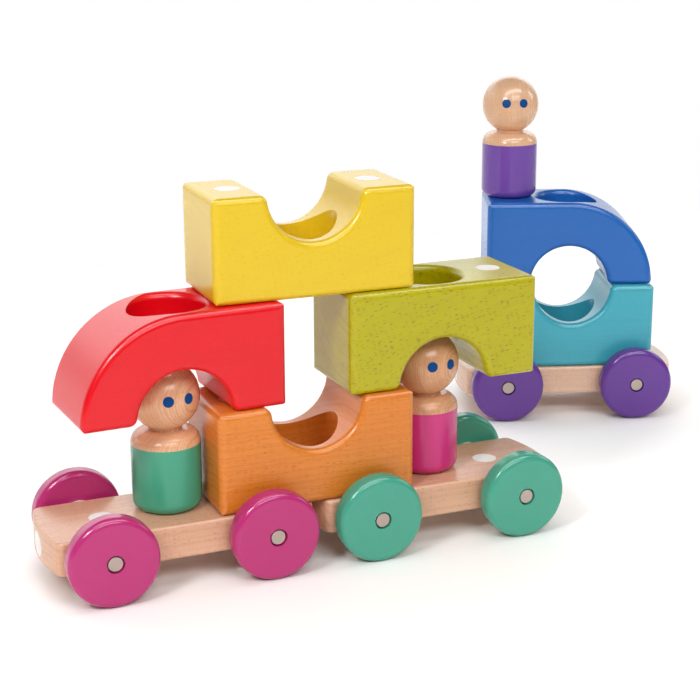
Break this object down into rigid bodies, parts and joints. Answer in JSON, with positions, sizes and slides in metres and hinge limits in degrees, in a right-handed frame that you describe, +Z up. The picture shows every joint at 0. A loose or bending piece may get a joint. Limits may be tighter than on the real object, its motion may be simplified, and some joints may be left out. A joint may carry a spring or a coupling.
{
  "type": "wooden train set",
  "caption": "Wooden toy train set: flat cars on turned wheels with stacking arch and quarter-round blocks and peg figures, held together by magnets.",
  "frame": {"origin": "middle of the set's footprint on the floor it stands on", "axes": "+X along the two coupled cars towards the lime block, +Y from their near side towards the third car, +Z up"},
  "size_m": [0.5198, 0.2902, 0.2428],
  "materials": {
    "beech": "clear satin lacquer",
    "pink_paint": "satin lacquer",
    "green_paint": "satin lacquer",
    "purple_paint": "satin lacquer",
    "orange_stain": "satin stain over beech",
    "red_stain": "satin lacquer over beech",
    "lime_stain": "satin stain over beech",
    "yellow_stain": "satin stain over beech",
    "teal_stain": "satin stain over beech",
    "blue_stain": "satin lacquer over beech",
    "magnet": "nickel plated",
    "cap": "matt white",
    "steel": "bright drawn steel",
    "nylon": "natural moulded nylon"
  },
  "bodies": {
    "car_1": {"board_1": "beech", "deck_magnets_1": "magnet", "deck_caps_1": "cap", "wheel_pins_1": "steel", "wheel_washers_1": "nylon"},
    "car_2": {"board_2": "beech", "deck_magnets_2": "magnet", "deck_caps_2": "cap", "wheel_pins_2": "steel", "wheel_washers_2": "nylon"},
    "car_3": {"board_3": "beech", "deck_magnets_3": "magnet", "deck_caps_3": "cap", "wheel_pins_3": "steel", "wheel_washers_3": "nylon"},
    "orange": {"orange_block": "orange_stain", "orange_magnets": "magnet", "orange_caps": "cap"},
    "red": {"red_block": "red_stain", "red_magnets": "magnet", "red_caps": "cap"},
    "lime": {"lime_block": "lime_stain", "lime_magnets": "magnet", "lime_caps": "cap"},
    "yellow": {"yellow_block": "yellow_stain", "yellow_magnets": "magnet", "yellow_caps": "cap"},
    "teal": {"teal_block": "teal_stain", "teal_magnets": "magnet", "teal_caps": "cap"},
    "blue": {"blue_block": "blue_stain", "blue_magnets": "magnet", "blue_caps": "cap"},
    "green_rider": {"green_figure": "green_paint", "green_figure_magnet": "magnet"},
    "pink_rider": {"pink_figure": "pink_paint", "pink_figure_magnet": "magnet"},
    "purple_rider": {"purple_figure": "purple_paint", "purple_figure_magnet": "magnet"},
    "wheel_1_near_left_body": {"wheel_1_near_left": "pink_paint"},
    "wheel_1_near_right_body": {"wheel_1_near_right": "pink_paint"},
    "wheel_1_far_left_body": {"wheel_1_far_left": "pink_paint"},
    "wheel_1_far_right_body": {"wheel_1_far_right": "pink_paint"},
    "wheel_2_near_left_body": {"wheel_2_near_left": "green_paint"},
    "wheel_2_near_right_body": {"wheel_2_near_right": "green_paint"},
    "wheel_2_far_left_body": {"wheel_2_far_left": "green_paint"},
    "wheel_2_far_right_body": {"wheel_2_far_right": "green_paint"},
    "wheel_3_near_left_body": {"wheel_3_near_left": "purple_paint"},
    "wheel_3_near_right_body": {"wheel_3_near_right": "purple_paint"},
    "wheel_3_far_left_body": {"wheel_3_far_left": "purple_paint"},
    "wheel_3_far_right_body": {"wheel_3_far_right": "purple_paint"}
  },
  "joints": [
    {"name": "car_2_swivel", "type": "hinge", "parent": "car_1", "child": "car_2", "pos_m": [-0.10169, -0.09857, 0.026], "axis": [0, 0, 1], "range_deg": [-2, 2]},
    {"name": "car_3_roll", "type": "slide", "parent": "car_1", "child": "car_3", "axis": [0.9455, -0.3256, 0], "range_m": [-0.06, 0.06]},
    {"name": "orange_lift", "type": "slide", "parent": "car_1", "child": "orange", "axis": [0, 0, 1], "range_m": [0, 0.08]},
    {"name": "red_pull", "type": "slide", "parent": "orange", "child": "red", "axis": [0.0489, -0.9988, 0], "range_m": [0, 0.08]},
    {"name": "lime_pull", "type": "slide", "parent": "orange", "child": "lime", "axis": [0, -1, 0], "range_m": [0, 0.08]},
    {"name": "yellow_lift", "type": "slide", "parent": "orange", "child": "yellow", "axis": [0, 0, 1], "range_m": [0, 0.12]},
    {"name": "green_rider_pull", "type": "slide", "parent": "car_1", "child": "green_rider", "axis": [0.0489, -0.9988, 0], "range_m": [0, 0.085]},
    {"name": "pink_rider_pull", "type": "slide", "parent": "car_2", "child": "pink_rider", "axis": [0, -1, 0], "range_m": [0, 0.085]},
    {"name": "teal_lift", "type": "slide", "parent": "car_3", "child": "teal", "axis": [0, 0, 1], "range_m": [0, 0.08]},
    {"name": "blue_lift", "type": "slide", "parent": "teal", "child": "blue", "axis": [0, 0, 1], "range_m": [0, 0.08]},
    {"name": "purple_rider_lift", "type": "slide", "parent": "blue", "child": "purple_rider", "axis": [0, 0, 1], "range_m": [0, 0.1]},
    {"name": "wheel_1_near_left_spin", "type": "hinge", "parent": "car_1", "child": "wheel_1_near_left_body", "pos_m": [-0.22789, -0.13857, 0.026], "axis": [0, 1, 0], "continuous": true},
    {"name": "wheel_1_near_right_spin", "type": "hinge", "parent": "car_1", "child": "wheel_1_near_right_body", "pos_m": [-0.13389, -0.13857, 0.026], "axis": [0, 1, 0], "continuous": true},
    {"name": "wheel_1_far_left_spin", "type": "hinge", "parent": "car_1", "child": "wheel_1_far_left_body", "pos_m": [-0.22789, -0.05857, 0.026], "axis": [0, 1, 0], "continuous": true},
    {"name": "wheel_1_far_right_spin", "type": "hinge", "parent": "car_1", "child": "wheel_1_far_right_body", "pos_m": [-0.13389, -0.05857, 0.026], "axis": [0, 1, 0], "continuous": true},
    {"name": "wheel_2_near_left_spin", "type": "hinge", "parent": "car_2", "child": "wheel_2_near_left_body", "pos_m": [-0.06949, -0.13857, 0.026], "axis": [0, 1, 0], "continuous": true},
    {"name": "wheel_2_near_right_spin", "type": "hinge", "parent": "car_2", "child": "wheel_2_near_right_body", "pos_m": [0.02451, -0.13857, 0.026], "axis": [0, 1, 0], "continuous": true},
    {"name": "wheel_2_far_left_spin", "type": "hinge", "parent": "car_2", "child": "wheel_2_far_left_body", "pos_m": [-0.06949, -0.05857, 0.026], "axis": [0, 1, 0], "continuous": true},
    {"name": "wheel_2_far_right_spin", "type": "hinge", "parent": "car_2", "child": "wheel_2_far_right_body", "pos_m": [0.02451, -0.05857, 0.026], "axis": [0, 1, 0], "continuous": true},
    {"name": "wheel_3_near_left_spin", "type": "hinge", "parent": "car_3", "child": "wheel_3_near_left_body", "pos_m": [0.11935, 0.05591, 0.026], "axis": [0.3256, 0.9455, 0], "continuous": true},
    {"name": "wheel_3_near_right_spin", "type": "hinge", "parent": "car_3", "child": "wheel_3_near_right_body", "pos_m": [0.20823, 0.0253, 0.026], "axis": [0.3256, 0.9455, 0], "continuous": true},
    {"name": "wheel_3_far_left_spin", "type": "hinge", "parent": "car_3", "child": "wheel_3_far_left_body", "pos_m": [0.14539, 0.13155, 0.026], "axis": [0.3256, 0.9455, 0], "continuous": true},
    {"name": "wheel_3_far_right_spin", "type": "hinge", "parent": "car_3", "child": "wheel_3_far_right_body", "pos_m": [0.23427, 0.10094, 0.026], "axis": [0.3256, 0.9455, 0], "continuous": true}
  ]
}
